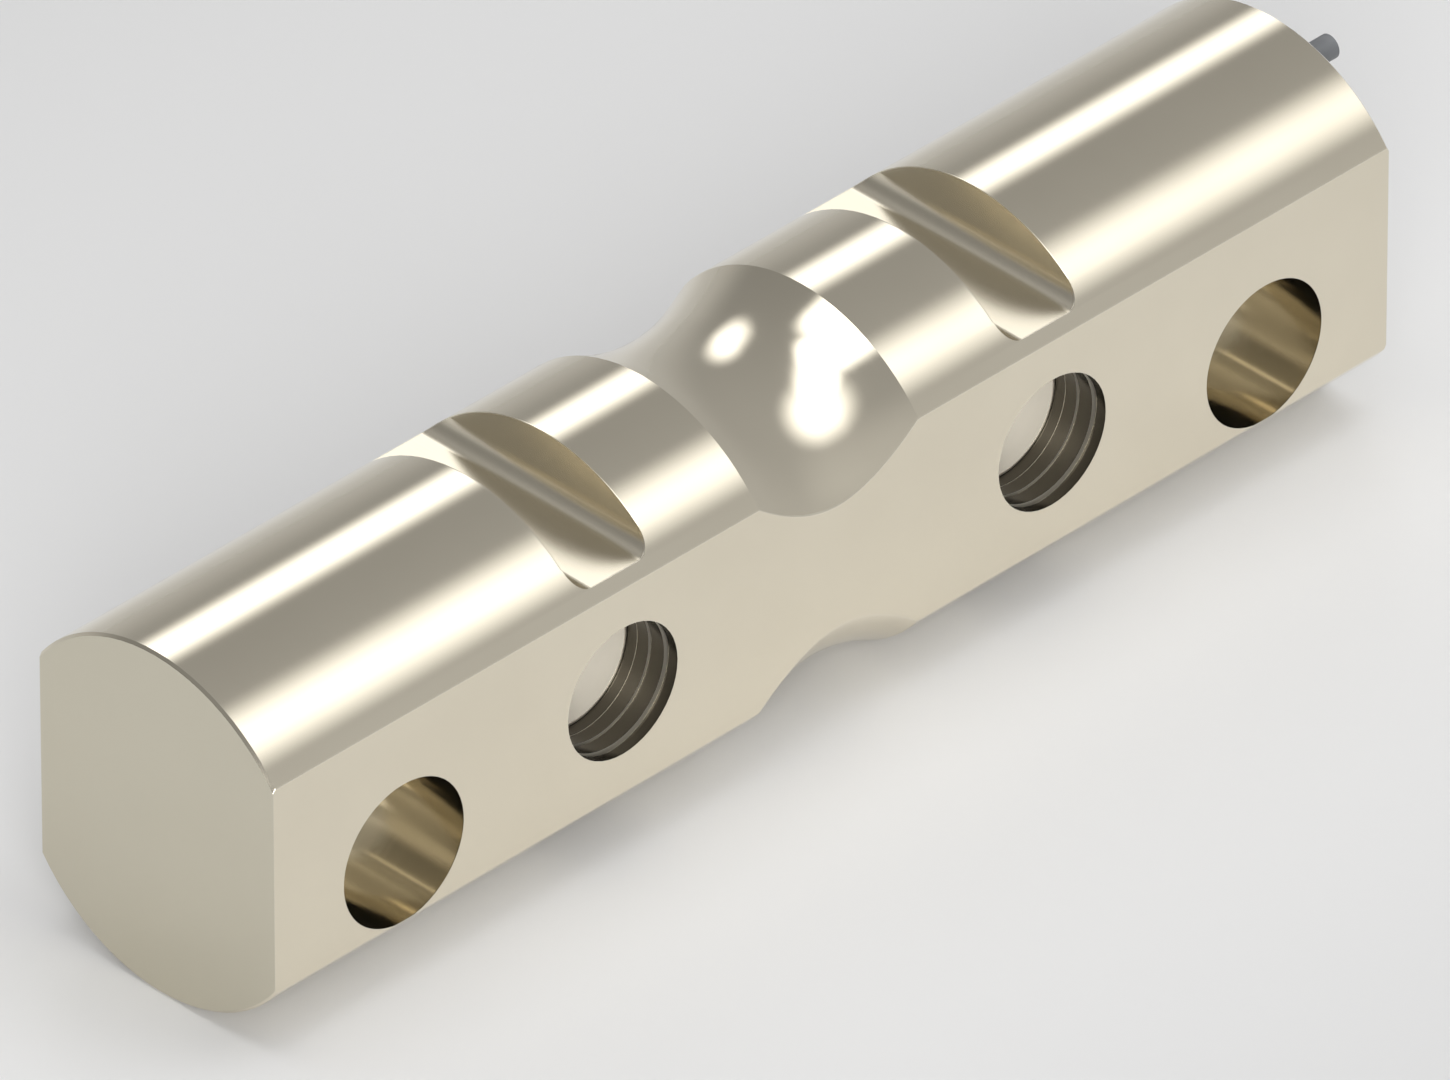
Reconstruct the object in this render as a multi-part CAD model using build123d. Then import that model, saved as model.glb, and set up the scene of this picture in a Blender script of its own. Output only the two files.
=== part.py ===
from build123d import *
import math
import os

# Double ended beam load cell: one round steel bar with two flats, held by a pin through each end
# and loaded by a shackle in its turned waist. Four strain gauges sit in sealed pockets between.
# The bar lies along X, its flats face -Y and +Y, +Z is up and the cable leaves the +X end.
# The origin is on the bar's axis, in the middle of the waist. All lengths are in millimetres.

# Bar
bar_diameter = 70.0
bar_length = 267.0
flat_to_flat = 56.0
end_chamfer = 0.5

# How far the cutting tools run past the metal
overcut = 1.0

# Mounting bores, through the flats
bore_diameter = 28.2
bore_spacing = 206.5
bore_drop = 7.1

# Turned waist
waist_width = 38.2
waist_depth = 4.3

# Gauge stations: a pocket in each flat, with a notch above and below them
station_spacing = 103.0
notch_width = 18.1
notch_depth = 11.8
notch_fillet = 3.5
pocket_diameter = 26.0
pocket_depth = 12.1
# Grooves in the pocket's wall, as distance from the flat to the far side, width and depth
pocket_grooves = ((3.3, 1.3, 1.2), (7.0, 0.8, 0.7), (9.8, 0.3, 0.2))

# Sealing disc on its shoulder, and the gauge cavity behind it
disc_thickness = 1.0
disc_clearance = 0.1
disc_bevel = 0.2
cavity_diameter = 22.0
cavity_depth = 4.4

# Strain gauge, terminal strip and sealing gel in the cavity
gauge_length = 9.0
gauge_height = 6.5
gauge_thickness = 0.2
gauge_corner = 0.8
grid_length = 4.0
grid_width = 2.0
grid_angle = 45.0
grid_thickness = 0.1
strip_length = 7.0
strip_height = 2.6
strip_thickness = 0.6
strip_gap = 1.2
pad_diameter = 1.8
pad_spacing = 4.4
pad_thickness = 0.15
gel_clearance = 0.05

# Wiring: one long hole, and a slanted hole from each cavity up to it. The slant inset is how far
# below the cavity's top that hole starts, and the leads reach a little way under the board.
wire_hole_diameter = 4.2
wire_hole_overrun = 3.5
slant_hole_diameter = 3.5
slant_inset = 2.3
lead_diameter = 1.2
lead_gap = 0.3
lead_clearance = 0.05
lead_bend = 1.2
lead_reach = 6.0

# Cable port in the +X end face: gland bore, then a narrower chamber for the junction board.
# The port drop is the distance from the bar's top down to the port's axis.
port_drop = 13.5
gland_bore_diameter = 14.0
gland_recess = 0.8
port_chamfer = 0.6
chamber_diameter = 12.6
chamber_length = 30.0

# Gland screw, slip washer and rubber grommet
gland_length = 8.0
gland_clearance = 0.1
gland_hole_diameter = 5.6
socket_across_flats = 9.0
socket_depth = 3.4
washer_thickness = 1.0
grommet_length = 8.0

# Junction board and what is soldered to it
board_length = 21.0
board_width = 11.4
board_thickness = 1.0
board_clearance = 0.05
board_setback = 4.5
resistor_diameter = 1.7
resistor_length = 4.2
resistor_pitch = 3.2
resistor_count = 3

# Cable: a short cut end stands out of the gland
cable_diameter = 4.7
cable_stub = 14.3
cable_inside = 2.5
jacket_wall = 0.6
braid_wall = 0.2
braid_stripped = 1.5
core_diameter = 1.15
core_gap = 0.1
core_bend = 1.7
# The cores end on the board. The lower pair lands outside the upper pair, which runs on a little
# further before it bends down.
core_reach = 5.8
lower_landing = 2.6
upper_landing = 0.8
upper_delay = 2.3
# Each core's place in the cable, as its way from the cable's axis in Y and Z
core_places = {
    "core_red": (-1, -1),
    "core_black": (1, -1),
    "core_green": (-1, 1),
    "core_white": (1, 1),
}

# Places that follow from the sizes above
bar_end = bar_length / 2
bar_top = bar_diameter / 2
flat_y = flat_to_flat / 2
notch_floor = bar_top - notch_depth
seat_y = flat_y - pocket_depth - disc_thickness
web_y = seat_y - cavity_depth
port_height = bar_top - port_drop
gland_floor = bar_end - gland_recess - gland_length - washer_thickness - grommet_length
chamber_floor = gland_floor - chamber_length
board_half = board_width / 2
board_z = port_height - math.sqrt((chamber_diameter / 2) ** 2 - board_half**2) + board_clearance
board_top = board_z + board_thickness
board_end = gland_floor - board_setback
lead_pitch = lead_diameter + lead_gap
wire_z = board_z - lead_clearance - (lead_diameter + lead_pitch) / 2
strip_z = gauge_height / 2 + strip_gap + strip_height / 2

sides = {"front": -1, "rear": 1}
stations = {"left": -1, "right": 1}


def along_x(radius, start, end, y=0.0, z=0.0):
    """A round bar along X from start to end."""
    disc = Plane(origin=(start, y, z), z_dir=(1, 0, 0)) * Circle(radius)
    return extrude(disc, end - start)


def along_y(radius, start, end, x=0.0, z=0.0):
    """A round bar along Y from start to end."""
    disc = Plane(origin=(x, start, z), z_dir=(0, 1, 0)) * Circle(radius)
    return extrude(disc, end - start)


def block(x, y, z):
    """A box from its low and high edge along each axis."""
    size = [high - low for low, high in (x, y, z)]
    middle = [(high + low) / 2 for low, high in (x, y, z)]
    return Pos(*middle) * Box(*size)


def tube(points, radii, diameter):
    """A round wire along straight runs joined by arcs."""
    path = FilletPolyline(*points, radius=radii)
    start = Plane(origin=path @ 0, z_dir=path % 0)
    return sweep(start * Circle(diameter / 2), path=path)


def bar_blank():
    """The turned bar with its chamfered ends and two milled flats."""
    bar = along_x(bar_top, -bar_end, bar_end)
    bar = chamfer(bar.edges().filter_by(GeomType.CIRCLE), end_chamfer)
    return bar & Box(bar_length, flat_to_flat, bar_diameter)


def waist_cut():
    """The ring of metal turned away between the gauge stations, hollow to a circular arc."""
    arc_radius = (waist_width**2 / 4 + waist_depth**2) / (2 * waist_depth)
    centre = Pos(0, bar_top - waist_depth + arc_radius)
    band = Pos(0, bar_top) * Rectangle(waist_width + 2 * overcut, 2 * (waist_depth + overcut))
    return revolve(centre * Circle(arc_radius) & band, Axis.X)


def notch_cut(x, up):
    """A flat-floored slot across the bar at x, with round corners, above it or below it."""
    high = bar_top + notch_fillet
    slot = Plane.XZ * Pos(x, (notch_floor + high) / 2) * RectangleRounded(
        notch_width, high - notch_floor, notch_fillet
    )
    opening = block(
        (x - notch_width / 2, x + notch_width / 2),
        (-bar_diameter, bar_diameter),
        (notch_floor + notch_fillet, bar_diameter),
    )
    cut = extrude(slot, bar_diameter, both=True) + opening
    return cut if up > 0 else mirror(cut, Plane.XY)


def pocket_cut(x, side):
    """A gauge pocket: grooved outer bore, shoulder for the disc, and the cavity behind."""
    radius = pocket_diameter / 2
    cut = along_y(radius, side * seat_y, side * (flat_y + overcut), x)
    for far_side, width, depth in pocket_grooves:
        start = side * (flat_y - far_side)
        cut += along_y(radius + depth, start, start + side * width, x)
    return cut + along_y(cavity_diameter / 2, side * web_y, side * seat_y, x)


def slant_line(x, side):
    """Ends of a slanted wiring hole: inside the cavity, and on the long hole's axis."""
    low = Vector(x, side * (web_y + cavity_depth / 2), cavity_diameter / 2 - slant_inset)
    return low, Vector(x, 0, wire_z)


def slant_cut(x, side):
    """A slanted wiring hole, drilled through the pocket's mouth up to the long hole."""
    low, high = slant_line(x, side)
    disc = Plane(origin=low, z_dir=high - low) * Circle(slant_hole_diameter / 2)
    return extrude(disc, (high - low).length)


def port_cut():
    """The cable port: chamfered mouth, gland bore, board chamber and the long wiring hole."""
    mouth = Plane(origin=(bar_end, 0, port_height), z_dir=(-1, 0, 0))
    gland_radius = gland_bore_diameter / 2
    cone = Solid.make_cone(gland_radius + port_chamfer, gland_radius, port_chamfer, mouth)
    cut = along_x(gland_radius, gland_floor, bar_end, z=port_height) + cone
    cut += along_x(chamber_diameter / 2, chamber_floor, gland_floor, z=port_height)
    far_end = -station_spacing / 2 - wire_hole_overrun
    return cut + along_x(wire_hole_diameter / 2, far_end, chamber_floor, z=wire_z)


def beam_body():
    """The load cell's body, machined from one bar."""
    body = bar_blank() - waist_cut() - port_cut()
    for end in (-1, 1):
        station = end * station_spacing / 2
        body -= along_y(bore_diameter / 2, -flat_to_flat, flat_to_flat, end * bore_spacing / 2, -bore_drop)
        body -= notch_cut(station, 1)
        body -= notch_cut(station, -1)
        for side in sides.values():
            body -= pocket_cut(station, side)
            body -= slant_cut(station, side)
    return body


def seal_disc(x, side):
    """The steel disc that closes a gauge cavity, bevelled at its outer edge."""
    radius = pocket_diameter / 2 - disc_clearance
    disc = along_y(radius, side * seat_y, side * (seat_y + disc_thickness), x)
    face = disc.faces().sort_by(Axis.Y)[-1 if side > 0 else 0]
    return chamfer(face.edges(), disc_bevel)


def on_web(sketch, x, side, offset, thickness):
    """A flat piece laid on the web, drawn as seen from outside the flat."""
    plane = Plane(origin=(x, side * (web_y + offset), 0), x_dir=(1, 0, 0), z_dir=(0, side, 0))
    upright = sketch if side < 0 else mirror(sketch, Plane.XZ)
    return extrude(plane * upright, thickness)


def strain_gauge(x, side):
    """A shear gauge: a foil carrier with two measuring grids at 45 degrees each way."""
    outline = RectangleRounded(gauge_length, gauge_height, gauge_corner)
    carrier = on_web(outline, x, side, 0, gauge_thickness)
    grids = Sketch()
    for lean in (-1, 1):
        place = Pos(lean * gauge_length / 4, 0) * Rot(0, 0, lean * grid_angle)
        grids += place * Rectangle(grid_length, grid_width)
    return carrier + on_web(grids, x, side, gauge_thickness, grid_thickness)


def terminal_strip(x, side):
    """The small strip above the gauge where its leads are soldered, with two pads."""
    place = Pos(0, strip_z)
    base = on_web(place * Rectangle(strip_length, strip_height), x, side, 0, strip_thickness)
    pads = Sketch()
    for way in (-1, 1):
        pads += place * Pos(way * pad_spacing / 2, 0) * Circle(pad_diameter / 2)
    return base + on_web(pads, x, side, strip_thickness, pad_thickness)


def lead_y(side):
    """Height of a lead's axis over the web where it lies on the terminal strip."""
    return side * (web_y + strip_thickness + lead_clearance + lead_diameter / 2)


def sealing_gel(x, side):
    """Soft gel that fills the cavity round the gauge, the strip and the lead."""
    gel = along_y(cavity_diameter / 2 - gel_clearance, side * web_y, side * seat_y, x)
    gel -= strain_gauge(x, side)
    gel -= terminal_strip(x, side)
    half = lead_diameter / 2 + lead_clearance
    channel = block(
        (x - half, x + half),
        sorted((side * web_y, lead_y(side) + side * half)),
        (strip_z - strip_height / 2 - half, cavity_diameter / 2),
    )
    return gel - channel


def lead_wires(x, side, station):
    """A station's leads: up from the strip, through the slanted and long holes, under the board."""
    row_y, row_z = side * lead_pitch / 2, wire_z - station * lead_pitch / 2
    low, high = slant_line(x, side)
    rise = (high.Z - low.Z) / (high.Y - low.Y)
    turn_z = low.Z + (lead_y(side) - low.Y) * rise
    points = (
        (x, lead_y(side), strip_z - strip_height / 2),
        (x, lead_y(side), turn_z),
        (x, row_y, row_z),
        (board_end - board_length + lead_reach, row_y, row_z),
    )
    return tube(points, [lead_bend] * (len(points) - 2), lead_diameter)


def junction_board():
    """The board that joins the four gauges into one bridge, lying in the chamber."""
    return block((board_end - board_length, board_end), (-board_half, board_half), (board_z, board_top))


def trim_resistors():
    """The resistors that trim the bridge's output, side by side on the board."""
    first = board_end - board_length + resistor_pitch
    radius, half = resistor_diameter / 2, resistor_length / 2
    row = [
        along_y(radius, -half, half, first + number * resistor_pitch, board_top + radius)
        for number in range(resistor_count)
    ]
    return Compound(children=row)


def gland_screw():
    """The hollow hexagon socket screw that squeezes the grommet round the cable."""
    start = gland_floor + grommet_length + washer_thickness
    screw = along_x(gland_bore_diameter / 2 - gland_clearance, start, start + gland_length, z=port_height)
    screw = chamfer(screw.edges().filter_by(GeomType.CIRCLE), end_chamfer)
    face = Plane(origin=(start + gland_length, 0, port_height), z_dir=(1, 0, 0))
    socket = extrude(face * RegularPolygon(socket_across_flats / 2, 6, major_radius=False), -socket_depth)
    return screw - socket - along_x(gland_hole_diameter / 2, start, start + gland_length, z=port_height)


def ring(start, length, clearance, hole_diameter):
    """A ring in the gland bore, round the cable."""
    outer = gland_bore_diameter / 2 - clearance
    blank = along_x(outer, start, start + length, z=port_height)
    return blank - along_x(hole_diameter / 2, start, start + length, z=port_height)


def sleeve(diameter, wall, start, end):
    """A tube along the cable's axis."""
    outer = along_x(diameter / 2, start, end, z=port_height)
    return outer - along_x(diameter / 2 - wall, start, end, z=port_height)


def core(way_y, way_z):
    """One insulated core: straight in the cable, then bent down to its end on the board."""
    spread = (core_diameter + core_gap) / 2
    y, z = way_y * spread, port_height + way_z * spread
    bend_x = gland_floor - cable_inside - braid_stripped - (upper_delay if way_z > 0 else 0)
    landing = way_y * (upper_landing if way_z > 0 else lower_landing)
    land_z = board_top + core_diameter / 2 + lead_clearance
    points = ((bar_end + cable_stub, y, z), (bend_x, y, z), (board_end - core_reach, landing, land_z))
    return tube(points, [core_bend], core_diameter)


def parts():
    """Every piece of the load cell, by name."""
    made = {"beam_body": beam_body()}
    for side_name, side in sides.items():
        for station_name, station in stations.items():
            place = f"{side_name}_{station_name}"
            x = station * station_spacing / 2
            made[f"seal_disc_{place}"] = seal_disc(x, side)
            made[f"strain_gauge_{place}"] = strain_gauge(x, side)
            made[f"terminal_strip_{place}"] = terminal_strip(x, side)
            made[f"sealing_gel_{place}"] = sealing_gel(x, side)
            made[f"lead_wires_{place}"] = lead_wires(x, side, station)
    made["junction_board"] = junction_board()
    made["trim_resistors"] = trim_resistors()
    made["gland_screw"] = gland_screw()
    washer_start = gland_floor + grommet_length
    made["slip_washer"] = ring(washer_start, washer_thickness, gland_clearance, gland_hole_diameter)
    made["cable_grommet"] = ring(gland_floor, grommet_length, gland_clearance, cable_diameter)
    inner_end = gland_floor - cable_inside
    outer_end = bar_end + cable_stub
    made["cable_jacket"] = sleeve(cable_diameter, jacket_wall, inner_end, outer_end)
    braid_diameter = cable_diameter - 2 * jacket_wall
    made["cable_braid"] = sleeve(braid_diameter, braid_wall, inner_end - braid_stripped, outer_end)
    for name, (way_y, way_z) in core_places.items():
        made[name] = core(way_y, way_z)
    return made


os.makedirs("parts", exist_ok=True)
for node, shape in parts().items():
    export_step(shape, f"parts/{node}.step")
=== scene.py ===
import math

import bpy
import numpy as np
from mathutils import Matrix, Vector


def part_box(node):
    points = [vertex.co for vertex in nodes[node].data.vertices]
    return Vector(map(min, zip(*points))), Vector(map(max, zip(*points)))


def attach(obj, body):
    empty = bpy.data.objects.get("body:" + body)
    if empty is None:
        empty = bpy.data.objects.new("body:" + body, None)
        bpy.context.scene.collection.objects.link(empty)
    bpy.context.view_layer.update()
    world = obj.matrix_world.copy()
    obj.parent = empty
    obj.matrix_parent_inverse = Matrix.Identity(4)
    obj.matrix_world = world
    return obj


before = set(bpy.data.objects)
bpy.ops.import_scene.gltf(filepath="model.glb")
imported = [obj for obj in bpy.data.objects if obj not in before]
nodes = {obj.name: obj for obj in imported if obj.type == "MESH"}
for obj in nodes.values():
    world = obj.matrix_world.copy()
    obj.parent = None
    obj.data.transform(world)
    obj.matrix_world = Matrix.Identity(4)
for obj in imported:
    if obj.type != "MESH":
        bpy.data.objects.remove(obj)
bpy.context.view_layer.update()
scene = bpy.context.scene
mm = 0.001
touch = 0.03  # mm; a point this near to a face lies on it
print("frame loaded:", len(nodes), "nodes")


# shader maths

class signal:
    # one value in a node tree; sums and products of signals add their Math nodes
    def __init__(self, tree, socket=None):
        self.tree = tree
        self.socket = socket

    def node(self, kind, settings=None, sockets=None, output=0):
        made = self.tree.nodes.new("ShaderNode" + kind)
        for name, value in (settings or {}).items():
            setattr(made, name, value)
        for key, value in (sockets or {}).items():
            join(value, made.inputs[key])
        return signal(self.tree, made.outputs[output])

    def also(self, output):
        return signal(self.tree, self.socket.node.outputs[output])  # another output of the same node

    def maths(self, operation, *values):
        return self.node("Math", {"operation": operation}, dict(enumerate(values)))

    def __add__(self, other):
        return self.maths("ADD", self, other)

    def __radd__(self, other):
        return self.maths("ADD", other, self)

    def __sub__(self, other):
        return self.maths("SUBTRACT", self, other)

    def __rsub__(self, other):
        return self.maths("SUBTRACT", other, self)

    def __mul__(self, other):
        return self.maths("MULTIPLY", self, other)

    def __rmul__(self, other):
        return self.maths("MULTIPLY", other, self)

    def __truediv__(self, other):
        return self.maths("DIVIDE", self, other)

    def __rtruediv__(self, other):
        return self.maths("DIVIDE", other, self)

    def __pow__(self, other):
        return self.maths("POWER", self, other)

    def __abs__(self):
        return self.maths("ABSOLUTE", self)

    def __gt__(self, other):
        return self.maths("GREATER_THAN", self, other)

    def __lt__(self, other):
        return self.maths("LESS_THAN", self, other)


def join(value, socket):
    # a signal is linked to the socket, and a plain value is set on it
    if isinstance(value, signal):
        value.tree.links.new(value.socket, socket)
    else:
        socket.default_value = value


def smaller(a, b):
    return a.maths("MINIMUM", a, b)


def larger(a, b):
    return a.maths("MAXIMUM", a, b)


def wave(value):
    return value.maths("SINE", value)


def near(value, place, reach):
    # 1 within reach of a place, 0 outside
    return abs(value - place) < reach


def ramp(value, low, high):
    # 0 up to low, 1 from high on, smooth between
    return value.node("MapRange", {"interpolation_type": "SMOOTHSTEP"}, {0: value, 1: low, 2: high})


def vary(value, noise, amount):
    # a value that noise moves, up and down by half the amount at most
    return value + (noise - 0.5) * amount


def blendValue(mask, low, high):
    return low + mask * (high - low)


def blendColour(mask, low, high):
    return mask.node("Mix", {"data_type": "RGBA"}, {0: mask, 6: low, 7: high}, 2)


def distanceOf(a, b):
    return (a * a + b * b) ** 0.5


def turnOf(a, b):
    # angle about an axis, in radians
    return a.maths("ARCTAN2", a, b)


def fromNearest(value, pitch):
    # distance to the nearest of places that lie a pitch apart
    return value.maths("PINGPONG", value, pitch / 2)


plainDetail, fineDetail, finestDetail = 3.0, 4.0, 5.0  # how many finer layers a noise has


def lineNoise(along, scale, detail=plainDetail):
    # noise along one coordinate, for turned and ground lines
    return along.node("TexNoise", {"noise_dimensions": "1D"}, {"W": along, "Scale": scale, "Detail": detail})


def cloudNoise(place, scale, detail=plainDetail):
    return place.node("TexNoise", {}, {"Vector": place, "Scale": scale, "Detail": detail})


def coordinates(vector):
    x = vector.node("SeparateXYZ", {}, {0: vector})
    return x, x.also(1), x.also(2)


# materials. In the settings a scale is in 1/mm, a depth is the bump's height in mm, and a share is how
# much of a colour comes in. A range is where in its noise that starts and where it is full. Rougher is
# what a mark adds to the roughness, and uneven is how far its noise moves the roughness up and down.

def newMaterial(name):
    # a material, and the place on the piece as a vector in mm
    material = bpy.data.materials.new(name)
    material.use_nodes = True
    metres = signal(material.node_tree).node("TexCoord", output="Object")
    return material, metres.node("VectorMath", {"operation": "SCALE"}, {"Vector": metres, "Scale": 1 / mm})


def finish(material, colour, roughness, height=None, metallic=0.0):
    shader = material.node_tree.nodes["Principled BSDF"]
    join(colour, shader.inputs["Base Color"])
    join(roughness, shader.inputs["Roughness"])
    join(metallic, shader.inputs["Metallic"])
    if height is not None:
        bump = height.node("Bump", {}, {"Strength": 1.0, "Distance": mm, "Height": height})
        join(bump, shader.inputs["Normal"])
    return material


def wear(node, material):
    node.data.materials.clear()
    node.data.materials.append(material)


def wearAll(start, material):
    # every node whose name starts so
    for name, node in nodes.items():
        if name.startswith(start):
            wear(node, material)


# places, from the frame, in mm; the four gauge stations mirror each other, and so do the halves

def corners(name):
    return [tuple(place / mm for place in corner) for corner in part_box(name)]


def middle(low, high, axis):
    return (low[axis] + high[axis]) / 2


bodyLow, bodyHigh = corners("beam_body")
discLow, discHigh = corners("seal_disc_rear_right")
jacketLow, jacketHigh = corners("cable_jacket")
stationX = middle(discLow, discHigh, 0)
portZ = middle(jacketLow, jacketHigh, 2)
cableEnd = jacketHigh[0]


# camera: the photograph is an isometric view, so a very long lens stands far off along the diagonal

cameraSettings = {
    "aim": (0.78, 0.0, -9.0),  # point of the object in the middle of the picture, mm
    "direction": (1.0, 1.0, -1.0),  # way the camera looks
    "pictureWidth": 246.25,  # width of the picture at the aim, mm
    "lens": 800.0,
    "sensor": 36.0,
    "clip": (0.01, 4.0),  # nearest and farthest that it sees, in times its distance from the aim
}


def makeCamera(settings):
    data = bpy.data.cameras.new("camera")
    data.lens = settings["lens"]
    data.sensor_width = settings["sensor"]
    look = Vector(settings["direction"]).normalized()
    distance = settings["pictureWidth"] * settings["lens"] / settings["sensor"] * mm
    data.clip_start, data.clip_end = (share * distance for share in settings["clip"])
    camera = bpy.data.objects.new("camera", data)
    camera.location = Vector(settings["aim"]) * mm - look * distance
    camera.rotation_mode = "QUATERNION"
    camera.rotation_quaternion = look.to_track_quat("-Z", "Y")
    scene.collection.objects.link(camera)
    scene.camera = camera


makeCamera(cameraSettings)
print("camera placed")


# light: a dim studio dome with soft boxes in it, each given by where it stands as seen from the bar:
# the angle from the bar's axis, and the turn about that axis from the rear (+Y) upwards

studioSettings = {
    "dome": 0.36,  # brightness of the dome
    "domeLean": (0.08, -0.08),  # brighter towards +X and -Y by this much
    "horizon": 0.53,  # brightness at the horizon and below it
    "horizonFade": 0.45,  # height in the dome at which that has gone
    # angle, turn, half width and half height, softness of the edges and tilt, in degrees; brightness
    "softBoxes": (
        {"angle": 59.0, "turn": 44.0, "size": (7.4, 7.4), "soft": (7.4, 7.4), "power": 2.4, "round": True},
        {"angle": 96.0, "turn": 88.0, "size": (12.8, 19.0), "soft": (6.0, 6.0), "power": 2.4},
        {"angle": 78.0, "turn": 98.0, "size": (10.5, 18.0), "soft": (5.0, 5.0), "power": 2.4, "tilt": 30.0},
        {"angle": 66.5, "turn": 118.3, "size": (11.6, 11.6), "soft": (13.5, 13.5), "power": 2.7,
         "round": True},
        # a broad glow from the front, and a fill beside the camera that lights the pockets' floors
        {"angle": 80.0, "turn": 156.0, "size": (34.0, 16.0), "soft": (22.0, 14.0), "power": 0.14},
        {"angle": 127.0, "turn": 147.0, "size": (13.0, 13.0), "soft": (5.0, 5.0), "power": 10.0},
    ),
}


def softBox(direction, box):
    # brightness of one soft box at a direction, from its tangent coordinates about the box's centre
    angle, turn, tilt = (math.radians(box.get(key, 0.0)) for key in ("angle", "turn", "tilt"))
    centre = Vector((math.cos(angle), math.sin(angle) * math.cos(turn), math.sin(angle) * math.sin(turn)))
    slope = Vector((math.sin(angle), -math.cos(angle) * math.cos(turn), -math.cos(angle) * math.sin(turn)))
    level = centre.cross(slope)
    across = slope * math.cos(tilt) + level * math.sin(tilt)
    around = centre.cross(across)
    leastFacing = 0.06  # cosine to the box's centre, under which a direction doesn't see the box

    def along(axis):
        return direction.node("VectorMath", {"operation": "DOT_PRODUCT"}, {0: direction, 1: axis}, 1)

    def inside(away, size, soft):
        # 1 well inside the box's edge, 0 well outside
        half, fade = math.tan(math.radians(size)), math.tan(math.radians(soft))
        return 1 - ramp(away, half - fade, half + fade)

    facing = along(centre)
    depth = larger(facing, leastFacing)
    a, b = abs(along(across)) / depth, abs(along(around)) / depth
    (sizeA, sizeB), (softA, softB) = box["size"], box["soft"]
    if box.get("round"):
        shape = inside(distanceOf(a, b), sizeA, softA)
    else:
        shape = inside(a, sizeA, softA) * inside(b, sizeB, softB)
    return shape * (facing > leastFacing) * box["power"]


def makeWorld(settings):
    world = bpy.data.worlds.new("studio")
    world.use_nodes = True
    scene.world = world
    direction = signal(world.node_tree).node("TexCoord", output="Generated")
    x, y, z = coordinates(direction)
    leanX, leanY = settings["domeLean"]
    dome = settings["dome"] + x * leanX + y * leanY
    dome = blendValue(ramp(z, 0.0, settings["horizonFade"]), settings["horizon"], dome)
    boxes = softBox(direction, settings["softBoxes"][0])
    for box in settings["softBoxes"][1:]:
        boxes = larger(boxes, softBox(direction, box))
    join(dome + boxes, world.node_tree.nodes["Background"].inputs["Color"])


makeWorld(studioSettings)
print("light made")


# floor: pale, and a little dimmer away from the bar: a painted pool of light round it

floorSettings = {
    "reach": 12000.0,  # half the floor's width, mm
    "near": (0.73, 0.73, 0.73, 1.0),
    "far": (0.53, 0.53, 0.53, 1.0),
    "fade": 240.0,  # mm from the bar's axis to halfway
    "steepness": 3.0,  # how fast it dims there
    "roughness": 0.6,
}


def floorMaterial(settings):
    material, place = newMaterial("paleFloor")
    x, y, z = coordinates(place)
    # painted pool of light: the colour is brighter near the bar and dims away from it
    share = distanceOf(larger(abs(x) - bodyHigh[0], 0.0), y) / settings["fade"]
    away = 1 - 1 / (1 + share ** settings["steepness"])
    return finish(material, blendColour(away, settings["near"], settings["far"]), settings["roughness"])


def makeFloor(settings):
    reach, height = settings["reach"] * mm, bodyLow[2] * mm
    ways = ((-1, -1), (1, -1), (1, 1), (-1, 1))
    mesh = bpy.data.meshes.new("floor")
    mesh.from_pydata([(wayX * reach, wayY * reach, height) for wayX, wayY in ways], [], [(0, 1, 2, 3)])
    floor = bpy.data.objects.new("floor", mesh)
    scene.collection.objects.link(floor)
    wear(floor, floorMaterial(settings))


makeFloor(floorSettings)
print("floor made")


# body: plated steel. Every face keeps the marks of how it was cut: turned rounds, ground flats,
# faced ends, bored holes and milled notches. The places repeat the body's own sizes.

bodySettings = {
    "waistHalf": 19.1,  # mm, as all lengths here
    "waistDepth": 4.3,
    "boreX": 103.25,
    "boreDrop": 7.1,
    "boreRadius": 14.1,
    "pocketRadius": 13.0,
    "pocketReach": 14.4,  # the grooves in the pocket's wall reach no further out
    "ledges": (3.3, 7.0, 9.8),  # how deep the grooves' outward sides lie
    "notchHalf": 9.05,
    "notchFloor": 23.2,
    "notchFillet": 3.5,
    "colour": (0.77, 0.71, 0.58, 1.0),
    "roughness": 0.11,
    "endShadeColour": (0.64, 0.60, 0.49, 1.0),  # painted shade: the ends are a tone darker in colour
    "notchRoughness": 0.26,
    "wallShadeColour": (0.10, 0.092, 0.077, 1.0),  # the pocket walls: painted shade, a near black colour for the shaded hollow
    "wallRougher": 0.1,
    # painted highlight: the grooves' outward sides are paler than the plating
    "ledgeHighlightColour": (0.85, 0.80, 0.69, 1.0),
    "ledgeRougher": 0.5,
    "edgeWearAndHighlight": (0.86, 0.82, 0.72, 1.0),  # the broken edges, lighter: rubbed plating and a painted highlight
    "edgeShare": 0.3,
    "edgeWidth": 0.18,
    "edgeDrop": 0.012,
    "edgeRougher": 0.1,
    "markScale": 2.2,  # tool marks, across the cut
    "markStretch": 0.02,  # their scale along it, as a part of that
    "markDepth": 0.0003,
    "wallMarkDepth": 0.002,
    "markUneven": 0.06,
    "notchMarkUneven": 0.03,
    "cloudColour": (0.50, 0.44, 0.33, 1.0),  # faint stains
    "cloudShare": 0.08,
    "cloudRange": (0.3, 0.8),
    "cloudScale": 0.05,
    "cloudUneven": 0.05,
}


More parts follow.
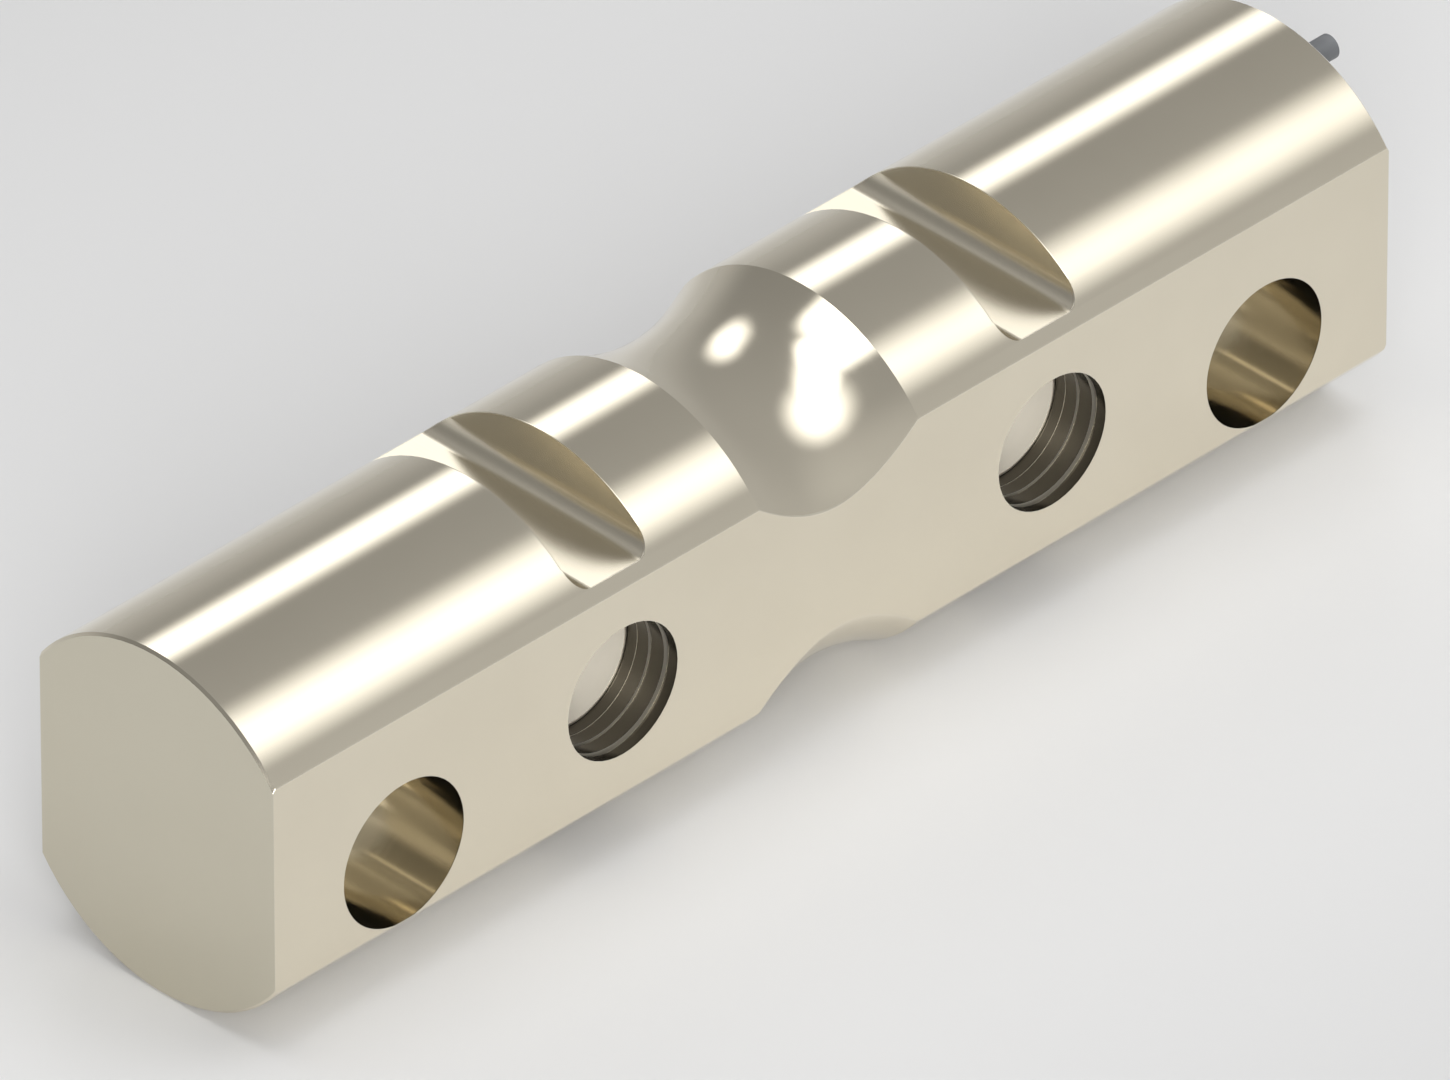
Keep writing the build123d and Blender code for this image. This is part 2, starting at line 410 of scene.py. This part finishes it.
def bodyMaterial(settings):
    material, place = newMaterial("nickelSteel")
    x, y, z = coordinates(place)
    ax, ay, az = abs(x), abs(y), abs(z)
    end, flat, top = bodyHigh
    radius = distanceOf(y, z)
    boreRadius = distanceOf(ax - settings["boreX"], z + settings["boreDrop"])
    pocketRadius = distanceOf(ax - stationX, z)
    fromStation = abs(ax - stationX)

    # which face a point is on
    onFlat = ay > flat - touch
    onEnd = ax > end - touch
    inBore = (boreRadius < settings["boreRadius"] + touch) * (1 - onFlat)
    inPocket = (pocketRadius < settings["pocketReach"]) * (1 - onFlat)
    inNotch = (fromStation < settings["notchHalf"] + touch) * (az > settings["notchFloor"] - touch)
    inNotch = inNotch * (radius < top - touch)  # beside its fillets the round goes on
    inHole = larger(inBore, inPocket)
    atLedge = sum(near(ay, flat - depth, touch) for depth in settings["ledges"])
    onLedge = inPocket * (pocketRadius > settings["pocketRadius"] + touch) * smaller(atLedge, 1.0)
    onWall = inPocket * (1 - onLedge)

    # tool marks: noise that is fine across the cut and long along it
    across = blendValue(onFlat, x, z)
    across = blendValue(onEnd, across, radius)
    across = blendValue(inNotch, across, x + z)
    across = blendValue(inHole, across, y)
    along = blendValue(onFlat, y, x)
    along = blendValue(onEnd, along, turnOf(y, z) * top)
    along = blendValue(inHole, along, z)
    markPlace = place.node("CombineXYZ", {}, {0: across, 1: along * settings["markStretch"]})
    marks = cloudNoise(markPlace, settings["markScale"], fineDetail)
    clouds = cloudNoise(place, settings["cloudScale"], fineDetail)

    # distance to the nearest edge along the face, for the broken edges
    waist, depth = settings["waistHalf"], settings["waistDepth"]
    arc = (waist ** 2 + depth ** 2) / (2 * depth)  # radius of the waist's arc
    hollow = larger(arc ** 2 - ax * ax, arc ** 2 - waist ** 2) ** 0.5
    outline = top - depth + arc - hollow
    flatEdge = smaller(outline - radius, boreRadius - settings["boreRadius"])
    flatEdge = smaller(flatEdge, pocketRadius - settings["pocketRadius"])
    flatEdge = smaller(flatEdge, end - ax)
    sideEdge = flat - ay
    notchSide = abs(fromStation - settings["notchHalf"])
    aboveFillet = az > settings["notchFloor"] + settings["notchFillet"]
    roundEdge = smaller(sideEdge, notchSide + (1 - aboveFillet) * top)
    notchEdge = smaller(sideEdge, top - radius)
    edge = blendValue(inNotch, blendValue(inHole, roundEdge, sideEdge), notchEdge)
    edge = blendValue(onFlat, edge, flatEdge)
    broken = 1 - ramp(edge, 0.0, settings["edgeWidth"])

    height = marks * blendValue(onWall, settings["markDepth"], settings["wallMarkDepth"])
    height = height - broken * settings["edgeDrop"]
    stains = ramp(clouds, *settings["cloudRange"])
    # painted shade: the end faces get a darker colour
    colour = blendColour(onEnd, settings["colour"], settings["endShadeColour"])
    # lighter along the edges: rubbed plating and a painted highlight
    colour = blendColour(broken * settings["edgeShare"], colour, settings["edgeWearAndHighlight"])
    colour = blendColour(stains * settings["cloudShare"], colour, settings["cloudColour"])
    # painted shade: the pocket walls turn near black
    colour = blendColour(onWall, colour, settings["wallShadeColour"])
    # painted highlight: the ledge rings are paler
    colour = blendColour(onLedge, colour, settings["ledgeHighlightColour"])
    roughness = vary(settings["roughness"], marks, settings["markUneven"])
    roughness = vary(roughness, clouds, settings["cloudUneven"])
    notchRoughness = vary(settings["notchRoughness"], marks, settings["notchMarkUneven"])
    roughness = blendValue(inNotch, roughness, notchRoughness) + broken * settings["edgeRougher"]
    roughness = roughness + onWall * settings["wallRougher"] + onLedge * settings["ledgeRougher"]
    return finish(material, colour, roughness, height, metallic=1.0)


wear(nodes["beam_body"], bodyMaterial(bodySettings))
print("body finished")


# sealing discs: thin stainless sheet, blasted to a satin, with faint rings about the pocket's middle

discSettings = {
    "colour": (0.97, 0.90, 0.76, 1.0),
    "metallic": 0.15,  # low, so that the disc doesn't mirror the dark wall round it
    "roughness": 0.50,
    "ringScale": 5.0,
    "ringDepth": 0.003,
    "ringUneven": 0.1,
    "cloudColour": (0.78, 0.70, 0.56, 1.0),
    "cloudShare": 0.1,
    "cloudScale": 0.3,
}


def discMaterial(settings):
    material, place = newMaterial("sealingDisc")
    x, y, z = coordinates(place)
    rings = lineNoise(distanceOf(abs(x) - stationX, z), settings["ringScale"], fineDetail)
    clouds = cloudNoise(place, settings["cloudScale"])
    colour = blendColour(clouds * settings["cloudShare"], settings["colour"], settings["cloudColour"])
    roughness = vary(settings["roughness"], rings, settings["ringUneven"])
    return finish(material, colour, roughness, rings * settings["ringDepth"], settings["metallic"])


wearAll("seal_disc", discMaterial(discSettings))
print("discs finished")


# weld beads: the thin laser seam that joins each disc's rim to its pocket

weldSettings = {
    "radius": 12.68,  # mm, of the bead's middle line
    "halfWidth": 0.28,
    "rise": 0.10,  # over the disc's face
    "sink": 0.08,  # of its root in the disc
    "pulses": 150,
    "pulseShare": 0.25,  # how much the rise dips between two pulses
    "steps": (900, 10),  # round the disc, and round the bead
    "colour": (0.80, 0.75, 0.64, 1.0),
    "tintColour": (0.62, 0.50, 0.36, 1.0),  # heat tint, from this far off the middle line outwards
    "tintFrom": 0.1,
    "roughness": 0.42,
    "cloudScale": 1.5,
    "cloudUneven": 0.2,
    "cloudDepth": 0.01,
}


def ringSurface(name, steps, place):
    # a closed ring: place(u, v) gives x, y and z for u once round it and v once round its section
    u, v = np.meshgrid(*(np.arange(count) * 2 * np.pi / count for count in steps), indexing="ij")
    points = np.stack(place(u, v), axis=-1).reshape(-1, 3) * mm
    first = np.arange(u.size).reshape(u.shape)
    ahead, beside = np.roll(first, -1, axis=0), np.roll(first, -1, axis=1)
    faces = np.stack((first, beside, np.roll(beside, -1, axis=0), ahead), axis=-1).reshape(-1, 4)
    mesh = bpy.data.meshes.new(name)
    mesh.from_pydata(points, [], faces)
    mesh.shade_smooth()
    piece = bpy.data.objects.new(name, mesh)
    scene.collection.objects.link(piece)
    return piece


def weldBead(settings, wayX, wayY):
    # a circle about the pocket's axis, carrying a squashed circle: y = rise * sin(v) above the disc,
    # radius = middle + halfWidth * cos(v), and the rise dips by a cosine between two pulses
    def place(u, v):
        dip = 1 - settings["pulseShare"] * (0.5 - 0.5 * np.cos(settings["pulses"] * u))
        out = settings["radius"] + settings["halfWidth"] * np.cos(v)
        up = np.where(np.sin(v) > 0, settings["rise"] * dip, settings["sink"]) * np.sin(v)
        x = wayX * stationX + out * np.cos(u * wayY)
        return x, wayY * (discHigh[1] + up), out * np.sin(u * wayY)

    name = "weld_" + ("front" if wayY < 0 else "rear") + ("_left" if wayX < 0 else "_right")
    return ringSurface(name, settings["steps"], place)


def weldMaterial(settings):
    material, place = newMaterial("weldSeam")
    x, y, z = coordinates(place)
    off = abs(distanceOf(abs(x) - stationX, z) - settings["radius"])
    tint = ramp(off, settings["tintFrom"], settings["halfWidth"])
    clouds = cloudNoise(place, settings["cloudScale"])
    colour = blendColour(tint * clouds, settings["colour"], settings["tintColour"])
    roughness = vary(settings["roughness"], clouds, settings["cloudUneven"])
    return finish(material, colour, roughness, clouds * settings["cloudDepth"], metallic=1.0)


weldFinish = weldMaterial(weldSettings)
for wayX in (-1, 1):
    for wayY in (-1, 1):
        bead = weldBead(weldSettings, wayX, wayY)
        wear(bead, weldFinish)
        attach(bead, "root")
print("discs welded in")


# gland screw and slip washer: turned stainless, with rings on the faces and lines along the sides

glandSettings = {
    "colour": (0.62, 0.60, 0.55, 1.0),
    "roughness": 0.24,
    "markColour": (0.38, 0.36, 0.32, 1.0),
    "markRange": (0.4, 0.75),
    "markScale": 7.0,
    "markDepth": 0.004,
    "markUneven": 0.2,
    "cloudShare": 0.4,  # how much the clouds say where the marks' colour shows
    "cloudScale": 0.4,
    "cloudUneven": 0.1,
}


def glandMaterial(settings):
    material, place = newMaterial("glandSteel")
    x, y, z = coordinates(place)
    marks = lineNoise(distanceOf(y, z - portZ) + x, settings["markScale"], fineDetail)
    clouds = cloudNoise(place, settings["cloudScale"])
    dull = ramp(blendValue(settings["cloudShare"], marks, clouds), *settings["markRange"])
    colour = blendColour(dull, settings["colour"], settings["markColour"])
    roughness = vary(settings["roughness"], marks, settings["markUneven"])
    roughness = vary(roughness, clouds, settings["cloudUneven"])
    return finish(material, colour, roughness, marks * settings["markDepth"], metallic=1.0)


glandFinish = glandMaterial(glandSettings)
wear(nodes["gland_screw"], glandFinish)
wear(nodes["slip_washer"], glandFinish)


# grommet: black nitrile rubber with moulding rings and a little dust

grommetSettings = {
    "colour": (0.022, 0.022, 0.024, 1.0),
    "roughness": 0.68,
    "dustColour": (0.11, 0.105, 0.10, 1.0),
    "dustShare": 0.5,
    "dustRange": (0.5, 0.75),
    "dustScale": 0.7,
    "dustRougher": 0.15,
    "grainScale": 6.0,
    "grainDepth": 0.02,
    "grainUneven": 0.1,
    "ringPitch": 1.6,
    "ringDepth": 0.03,
}


def grommetMaterial(settings):
    material, place = newMaterial("grommetRubber")
    x = coordinates(place)[0]
    grain = cloudNoise(place, settings["grainScale"], finestDetail)
    dust = ramp(cloudNoise(place, settings["dustScale"], finestDetail), *settings["dustRange"])
    rings = wave(x * (2 * math.pi / settings["ringPitch"]))
    height = grain * settings["grainDepth"] + rings * settings["ringDepth"]
    colour = blendColour(dust * settings["dustShare"], settings["colour"], settings["dustColour"])
    roughness = settings["roughness"] + dust * settings["dustRougher"]
    return finish(material, colour, vary(roughness, grain, settings["grainUneven"]), height)


wear(nodes["cable_grommet"], grommetMaterial(grommetSettings))
print("gland finished")


# cable jacket: slate grey polyurethane with a matte drawn skin, and a sawn face at the cut end

jacketSettings = {
    "colour": (0.150, 0.157, 0.166, 1.0),
    "roughness": 0.46,
    "rubbedColour": (0.215, 0.222, 0.230, 1.0),
    "rubbedShare": 0.5,
    "rubbedRange": (0.45, 0.8),
    "rubbedScale": 0.35,
    "rubbedRougher": 0.08,
    "grainScale": 9.0,
    "grainDepth": 0.012,
    "grainUneven": 0.12,
    "drawLines": 3.0,  # faint lines along the cable: how far their noise runs for each radian round it
    "drawDrift": 0.01,  # and for each mm along it
    "drawScale": 4.0,
    "drawDepth": 0.01,
    "cutColour": (0.110, 0.115, 0.122, 1.0),
    "cutRougher": 0.15,
    "sawScale": 9.0,
    "sawLean": 0.3,
    "sawDepth": 0.03,
}


def jacketMaterial(settings):
    material, place = newMaterial("cableJacket")
    x, y, z = coordinates(place)
    onCut = x > cableEnd - touch
    grain = cloudNoise(place, settings["grainScale"], finestDetail)
    turn = turnOf(y, z - portZ)
    drawn = lineNoise(turn * settings["drawLines"] + x * settings["drawDrift"], settings["drawScale"])
    sawn = lineNoise(y + z * settings["sawLean"], settings["sawScale"])
    rubbed = ramp(cloudNoise(place, settings["rubbedScale"], finestDetail), *settings["rubbedRange"])
    height = blendValue(onCut, drawn * settings["drawDepth"], sawn * settings["sawDepth"])
    height = height + grain * settings["grainDepth"]
    colour = blendColour(rubbed * settings["rubbedShare"], settings["colour"], settings["rubbedColour"])
    colour = blendColour(onCut, colour, settings["cutColour"])
    roughness = vary(settings["roughness"], grain, settings["grainUneven"])
    roughness = roughness + rubbed * settings["rubbedRougher"] + onCut * settings["cutRougher"]
    return finish(material, colour, roughness, height)


wear(nodes["cable_jacket"], jacketMaterial(jacketSettings))


# braid: tinned copper wires that cross in two spirals

braidSettings = {
    "colour": (0.78, 0.74, 0.66, 1.0),
    "roughness": 0.32,
    # painted shade in the gaps between the wires
    "gapShadeColour": (0.20, 0.17, 0.13, 1.0),
    "gapRange": (0.1, 0.5),
    "carriers": 16,
    "lay": 9.0,  # mm along the cable for one turn of a spiral
    "wireDepth": 0.05,
    "strands": 4.0,  # in a carrier
    "strandDepth": 0.01,
    "strandRougher": 0.15,  # between two strands
}


def braidMaterial(settings):
    material, place = newMaterial("tinnedBraid")
    x, y, z = coordinates(place)
    turn = turnOf(y, z - portZ) * (settings["carriers"] / 2)
    run = x * (math.pi * settings["carriers"] / settings["lay"])
    left, right = turn + run, turn - run
    over = wave(left / 2) * wave(right / 2) > 0  # which spiral lies on top
    spiral = blendValue(over, left, right)
    wires, strands = abs(wave(spiral)), abs(wave(spiral * settings["strands"]))
    height = wires * settings["wireDepth"] + strands * settings["strandDepth"]
    # painted shade: darker between the wires
    colour = blendColour(ramp(wires, *settings["gapRange"]), settings["gapShadeColour"], settings["colour"])
    roughness = settings["roughness"] + (1 - strands) * settings["strandRougher"]
    return finish(material, colour, roughness, height, metallic=1.0)


wear(nodes["cable_braid"], braidMaterial(braidSettings))


# cores: coloured insulation, with seven copper strands in the cut end

coreSettings = {
    "spread": 0.625,  # mm from the cable's axis to a core's, in Y and in Z
    "strandRadius": 0.105,
    "strandRing": 0.215,
    "strandSector": math.pi / 3,  # six strands round a seventh
    "strandDepth": 0.02,
    "copper": (0.88, 0.46, 0.28, 1.0),
    "roughness": 0.30,
    "scuffShare": 0.4,
    "scuffRange": (0.5, 0.8),
    "scuffScale": 0.8,
    "scuffRougher": 0.2,
    "grainScale": 12.0,
    "grainDepth": 0.004,
    "grainUneven": 0.06,
    "cores": {
        # way in Y and Z, colour, colour where it is scuffed
        "core_red": (-1, -1, (0.58, 0.030, 0.024, 1.0), (0.66, 0.12, 0.10, 1.0)),
        "core_black": (1, -1, (0.018, 0.018, 0.020, 1.0), (0.07, 0.07, 0.07, 1.0)),
        "core_green": (-1, 1, (0.028, 0.32, 0.075, 1.0), (0.11, 0.42, 0.16, 1.0)),
        "core_white": (1, 1, (0.84, 0.84, 0.81, 1.0), (0.68, 0.67, 0.62, 1.0)),
    },
}


def coreMaterial(settings, name):
    wayY, wayZ, sound, scuffed = settings["cores"][name]
    material, place = newMaterial(name + "_insulation")
    x, y, z = coordinates(place)
    acrossY = y - wayY * settings["spread"]
    acrossZ = z - portZ - wayZ * settings["spread"]
    radius = distanceOf(acrossY, acrossZ)
    turn = fromNearest(turnOf(acrossY, acrossZ), settings["strandSector"])
    beside = radius * wave(turn)
    ahead = radius * turn.maths("COSINE", turn) - settings["strandRing"]
    strand = smaller(radius, distanceOf(beside, ahead))
    onStrand = (strand < settings["strandRadius"]) * (x > cableEnd - touch)
    scuff = ramp(cloudNoise(place, settings["scuffScale"], finestDetail), *settings["scuffRange"])
    grain = cloudNoise(place, settings["grainScale"])
    colour = blendColour(scuff * settings["scuffShare"], sound, scuffed)
    colour = blendColour(onStrand, colour, settings["copper"])
    roughness = settings["roughness"] + scuff * settings["scuffRougher"]
    roughness = vary(roughness, grain, settings["grainUneven"])
    height = grain * settings["grainDepth"] + onStrand * settings["strandDepth"]
    return finish(material, colour, roughness, height, metallic=onStrand)


for name in coreSettings["cores"]:
    wear(nodes[name], coreMaterial(coreSettings, name))
print("cable finished")


# strain gauges: amber film with two foil grids that lean 45 degrees each way

gaugeSettings = {
    "filmTop": 10.72,  # mm from the bar's middle plane; the grids stand over this
    "gridX": 2.25,  # mm from the station's middle to each grid's
    "gridHalfLength": 1.9,
    "gridHalfWidth": 0.95,
    "lines": 3.4,  # foil lines per millimetre
    "lineLevel": -0.2,  # foil is where the lines' wave is over this
    "loopLength": 0.25,  # of the broad loops at both ends
    "film": (0.70, 0.40, 0.085, 1.0),
    "filmRoughness": 0.22,
    "glue": (0.50, 0.26, 0.05, 1.0),
    "glueShare": 0.5,
    "foil": (0.66, 0.60, 0.52, 1.0),
    "foilRoughness": 0.36,
    "foilDepth": 0.01,
    "cloudScale": 0.9,
    "cloudDepth": 0.01,
    "cloudUneven": 0.1,
}


def gaugeMaterial(settings):
    material, place = newMaterial("gaugeFoil")
    x, y, z = coordinates(place)
    out = abs(abs(x) - stationX) - settings["gridX"]
    along, across = (out + z) / math.sqrt(2), (z - out) / math.sqrt(2)
    inGrid = near(along, 0.0, settings["gridHalfLength"]) * near(across, 0.0, settings["gridHalfWidth"])
    line = wave(across * (2 * math.pi * settings["lines"])) > settings["lineLevel"]
    loop = 1 - near(along, 0.0, settings["gridHalfLength"] - settings["loopLength"])
    foil = inGrid * larger(line, loop) * (abs(y) > settings["filmTop"])
    clouds = cloudNoise(place, settings["cloudScale"])
    colour = blendColour(clouds * settings["glueShare"], settings["film"], settings["glue"])
    colour = blendColour(foil, colour, settings["foil"])
    roughness = blendValue(foil, settings["filmRoughness"], settings["foilRoughness"])
    roughness = vary(roughness, clouds, settings["cloudUneven"])
    height = foil * settings["foilDepth"] + clouds * settings["cloudDepth"]
    return finish(material, colour, roughness, height, metallic=foil)


wearAll("strain_gauge", gaugeMaterial(gaugeSettings))


# terminal strips: woven glass and epoxy with two tinned pads

stripLow, stripHigh = corners("terminal_strip_rear_right")
stripSettings = {
    "epoxy": (0.58, 0.55, 0.28, 1.0),
    "epoxyRoughness": 0.52,
    "weave": (0.70, 0.67, 0.42, 1.0),
    "weaveShare": 0.6,
    "weavePitch": 0.5,  # mm
    "weaveDepth": 0.012,
    "weaveSmoother": 0.1,  # over the threads' crossings
    "padX": 2.2,  # mm from the strip's middle
    "padRadius": 0.93,
    "tin": (0.74, 0.74, 0.72, 1.0),
    "tinRoughness": 0.20,
    "poolScale": 1.6,
    "poolDepth": 0.08,
    "poolRougher": 0.2,
}


def wovenGlass(x, z, pitch):
    # 0 to 1 over the crossings of a plain weave
    return wave(x * (math.pi / pitch)) * wave(z * (math.pi / pitch)) * 0.5 + 0.5


def stripMaterial(settings):
    material, place = newMaterial("terminalBoard")
    x, y, z = coordinates(place)
    out = abs(abs(x) - stationX) - settings["padX"]
    onPad = distanceOf(out, z - middle(stripLow, stripHigh, 2)) < settings["padRadius"]
    weave = wovenGlass(x, z, settings["weavePitch"])
    pool = cloudNoise(place, settings["poolScale"])
    colour = blendColour(weave * settings["weaveShare"], settings["epoxy"], settings["weave"])
    colour = blendColour(onPad, colour, settings["tin"])
    boardRoughness = settings["epoxyRoughness"] - weave * settings["weaveSmoother"]
    tinRoughness = settings["tinRoughness"] + pool * settings["poolRougher"]
    roughness = blendValue(onPad, boardRoughness, tinRoughness)
    height = blendValue(onPad, weave * settings["weaveDepth"], pool * settings["poolDepth"])
    return finish(material, colour, roughness, height, metallic=onPad)


wearAll("terminal_strip", stripMaterial(stripSettings))


# gel: soft silicone, milky in this thickness, with small bubbles

gelSettings = {
    "colour": (0.74, 0.77, 0.79, 1.0),
    "deepColour": (0.60, 0.64, 0.67, 1.0),
    "roughness": 0.14,
    "bubbleScale": 1.4,
    "bubbleRange": (0.08, 0.14),  # a bubble's middle to its rim
    "bubbleDepth": 0.03,
    "cloudScale": 0.25,
    "cloudDepth": 0.15,
    "cloudRougher": 0.08,
}


def gelMaterial(settings):
    material, place = newMaterial("siliconeGel")
    cells = place.node("TexVoronoi", {}, {"Vector": place, "Scale": settings["bubbleScale"]})
    bubble = 1 - ramp(cells, *settings["bubbleRange"])
    clouds = cloudNoise(place, settings["cloudScale"])
    colour = blendColour(clouds, settings["colour"], settings["deepColour"])
    roughness = settings["roughness"] + clouds * settings["cloudRougher"]
    height = clouds * settings["cloudDepth"] + bubble * settings["bubbleDepth"]
    return finish(material, colour, roughness, height)


wearAll("sealing_gel", gelMaterial(gelSettings))


# leads: thin wires in white insulation, twisted together

leadSettings = {
    "colour": (0.80, 0.80, 0.77, 1.0),
    "roughness": 0.28,
    # painted shade in the grooves between the twisted wires
    "grooveShadeColour": (0.34, 0.33, 0.30, 1.0),
    "grooveRange": (0.0, 0.45),
    "pitch": 1.1,  # mm between two grooves of the twist
    "lean": 0.8,  # of the grooves, in Y and in Z
    "twistDepth": 0.08,
    "cloudScale": 1.2,
    "cloudDepth": 0.01,
    "cloudUneven": 0.12,
}


def leadMaterial(settings):
    material, place = newMaterial("leadInsulation")
    x, y, z = coordinates(place)
    run = x + y * settings["lean"] + z * settings["lean"]
    twist = abs(wave(run * (math.pi / settings["pitch"])))
    clouds = cloudNoise(place, settings["cloudScale"])
    # painted shade: darker in the twist's grooves
    colour = blendColour(ramp(twist, *settings["grooveRange"]), settings["grooveShadeColour"], settings["colour"])
    roughness = vary(settings["roughness"], clouds, settings["cloudUneven"])
    height = twist * settings["twistDepth"] + clouds * settings["cloudDepth"]
    return finish(material, colour, roughness, height)


wearAll("lead_wires", leadMaterial(leadSettings))
print("gauge stations finished")


# junction board: green solder mask over copper tracks, tinned pads, and woven glass at the sides

boardLow, boardHigh = corners("junction_board")
resistorLow, resistorHigh = corners("trim_resistors")
boardSettings = {
    "mask": (0.030, 0.20, 0.085, 1.0),
    "roughness": 0.30,
    "trackColour": (0.060, 0.33, 0.13, 1.0),
    "trackPitch": 1.9,  # mm
    "trackShare": 0.35,  # of the wave's height that is track
    "trackDepth": 0.02,
    "sideColour": (0.55, 0.52, 0.30, 1.0),
    "sideRougher": 0.3,
    "weavePitch": 0.6,
    "weaveDepth": 0.006,
    "weaveRougher": 0.06,
    "resistors": 3,
    "resistorPitch": 3.2,
    "padY": 3.4,
    "padRadius": 0.75,
    "padDepth": 0.03,
    "tin": (0.74, 0.74, 0.72, 1.0),
}


def boardMaterial(settings):
    material, place = newMaterial("circuitBoard")
    x, y, z = coordinates(place)
    halfLength = (boardHigh[0] - boardLow[0]) / 2
    onEnd = 1 - near(x, middle(boardLow, boardHigh, 0), halfLength - touch)
    onSide = larger(abs(y) > boardHigh[1] - touch, onEnd)
    alongRow = x - middle(resistorLow, resistorHigh, 0)
    inRow = near(alongRow, 0.0, settings["resistorPitch"] * settings["resistors"] / 2)
    fromPad = distanceOf(fromNearest(alongRow, settings["resistorPitch"]), abs(y) - settings["padY"])
    onPad = (fromPad < settings["padRadius"]) * inRow
    onTrack = wave(y * (2 * math.pi / settings["trackPitch"])) > 1 - 2 * settings["trackShare"]
    weave = wovenGlass(x, y, settings["weavePitch"])
    colour = blendColour(onTrack, settings["mask"], settings["trackColour"])
    colour = blendColour(onPad, colour, settings["tin"])
    colour = blendColour(onSide, colour, settings["sideColour"])
    roughness = settings["roughness"] + weave * settings["weaveRougher"]
    roughness = roughness + onSide * settings["sideRougher"]
    height = onTrack * settings["trackDepth"] + onPad * settings["padDepth"]
    height = height + weave * settings["weaveDepth"]
    return finish(material, colour, roughness, height, metallic=onPad * (1 - onSide))


wear(nodes["junction_board"], boardMaterial(boardSettings))


# trim resistors: blue lacquer over a ceramic rod, with plain colour bands across it

resistorSettings = {
    "lacquer": (0.16, 0.33, 0.46, 1.0),
    "roughness": 0.20,
    "capColour": (0.11, 0.24, 0.35, 1.0),
    "capRange": (1.55, 1.7),  # mm from the middle, where the end cap starts and is full
    "capDepth": 0.05,
    "cloudScale": 1.5,
    "cloudDepth": 0.02,
    "cloudRougher": 0.12,
    "bandHalf": 0.16,  # mm
    "bands": (
        # place along the resistor, colour
        (-1.35, (0.16, 0.06, 0.025, 1.0)),
        (-0.65, (0.015, 0.015, 0.015, 1.0)),
        (0.05, (0.50, 0.03, 0.02, 1.0)),
        (1.20, (0.55, 0.38, 0.10, 1.0)),
    ),
}


def resistorMaterial(settings):
    material, place = newMaterial("resistorLacquer")
    y = coordinates(place)[1]
    clouds = cloudNoise(place, settings["cloudScale"])
    cap = ramp(abs(y), *settings["capRange"])
    colour = blendColour(cap, settings["lacquer"], settings["capColour"])
    for bandY, bandColour in settings["bands"]:
        colour = blendColour(near(y, bandY, settings["bandHalf"]), colour, bandColour)
    roughness = settings["roughness"] + clouds * settings["cloudRougher"]
    height = clouds * settings["cloudDepth"] + cap * settings["capDepth"]
    return finish(material, colour, roughness, height)


wear(nodes["trim_resistors"], resistorMaterial(resistorSettings))
print("junction finished")


scene.view_settings.view_transform = "Standard"
